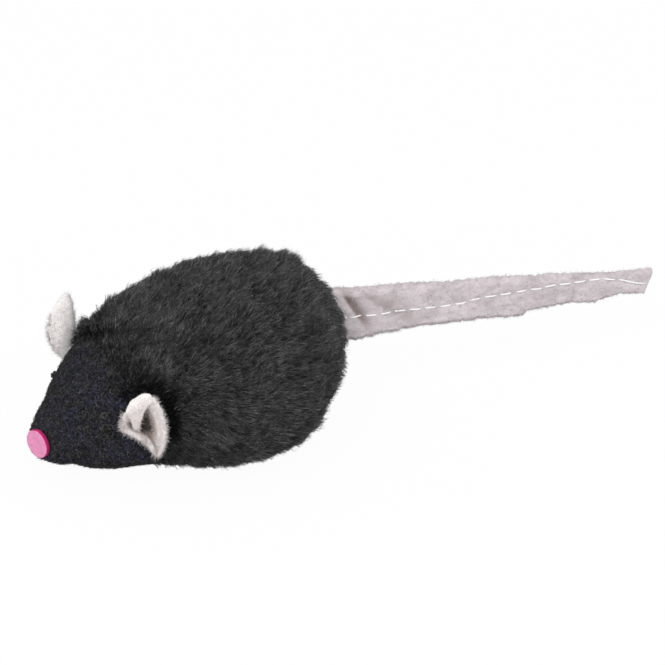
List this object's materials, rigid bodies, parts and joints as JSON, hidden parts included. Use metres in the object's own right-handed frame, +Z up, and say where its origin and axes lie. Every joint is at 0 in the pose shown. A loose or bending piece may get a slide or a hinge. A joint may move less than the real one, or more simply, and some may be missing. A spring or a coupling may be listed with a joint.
{
  "type": "stuffed toy mouse",
  "caption": "Small stuffed plush mouse with felt head, cupped ears, long folded felt tail and a squeaking module inside; lies on its flat belly.",
  "frame": {"origin": "middle of the body's length, on the flat belly that the mouse lies on", "axes": "+X from nose to tail, +Z up, the mouse's left side faces -Y"},
  "size_m": [0.1312, 0.046, 0.0349],
  "materials": {
    "black_plush": "long black acrylic pile, swept back from the head",
    "black_felt": "fuzzy black felt with dark blue fibres in it",
    "grey_felt": "soft pale grey felt with a pink cast and hairy cut edges",
    "pink_felt": "pressed pink felt disc with a darker cut edge",
    "black_thread": "wound black sewing thread",
    "fibre_filling": "loose white polyester fibre",
    "white_plastic": "moulded white plastic",
    "board_laminate": "green glass-fibre board",
    "black_resin": "glossy black potting resin",
    "cell_steel": "nickel-plated steel can",
    "spring_steel": "plated spring steel",
    "speaker_brass": "thin rolled brass disc",
    "red_wire_coat": "red insulated lead",
    "black_wire_coat": "black insulated lead"
  },
  "bodies": {
    "mouse": {"head_cover": "black_felt", "body_cover": "black_plush", "belly_panel": "black_felt", "head_stuffing": "fibre_filling", "body_stuffing_lower": "fibre_filling", "body_stuffing_upper": "fibre_filling", "nose_disc": "pink_felt", "eye_left": "black_thread", "eye_right": "black_thread", "module_case_base": "white_plastic", "module_case_lid": "white_plastic", "button_cell_1": "cell_steel", "button_cell_2": "cell_steel", "button_cell_3": "cell_steel", "contact_strap_lower": "spring_steel", "contact_strap_upper": "spring_steel", "circuit_board": "board_laminate", "chip_blob": "black_resin", "piezo_speaker": "speaker_brass", "motion_switch_pin": "spring_steel", "wire_red": "red_wire_coat", "wire_black": "black_wire_coat"},
    "left_ear": {"ear_left": "grey_felt"},
    "right_ear": {"ear_right": "grey_felt"},
    "tail_strip": {"tail": "grey_felt"},
    "switch_spring": {"motion_switch_spring": "spring_steel"}
  },
  "joints": [
    {"name": "tail_swing", "type": "hinge", "parent": "mouse", "child": "tail_strip", "pos_m": [0.034, 0, 0.0206], "axis": [0, 0, 1], "range_deg": [-55, 55], "stiffness_Nm_per_rad": 0.0004},
    {"name": "ear_left_fold", "type": "hinge", "parent": "mouse", "child": "left_ear", "pos_m": [-0.014, -0.0161, 0.0093], "axis": [1, 0, 0], "range_deg": [-3, 70], "stiffness_Nm_per_rad": 0.0003},
    {"name": "ear_right_fold", "type": "hinge", "parent": "mouse", "child": "right_ear", "pos_m": [-0.014, 0.0161, 0.0093], "axis": [-1, 0, 0], "range_deg": [-3, 70], "stiffness_Nm_per_rad": 0.0003},
    {"name": "switch_wobble", "type": "hinge", "parent": "mouse", "child": "switch_spring", "pos_m": [0.00033, -0.0046, 0.01655], "axis": [0, 0, 1], "range_deg": [-5, 5], "stiffness_Nm_per_rad": 0.00005}
  ]
}
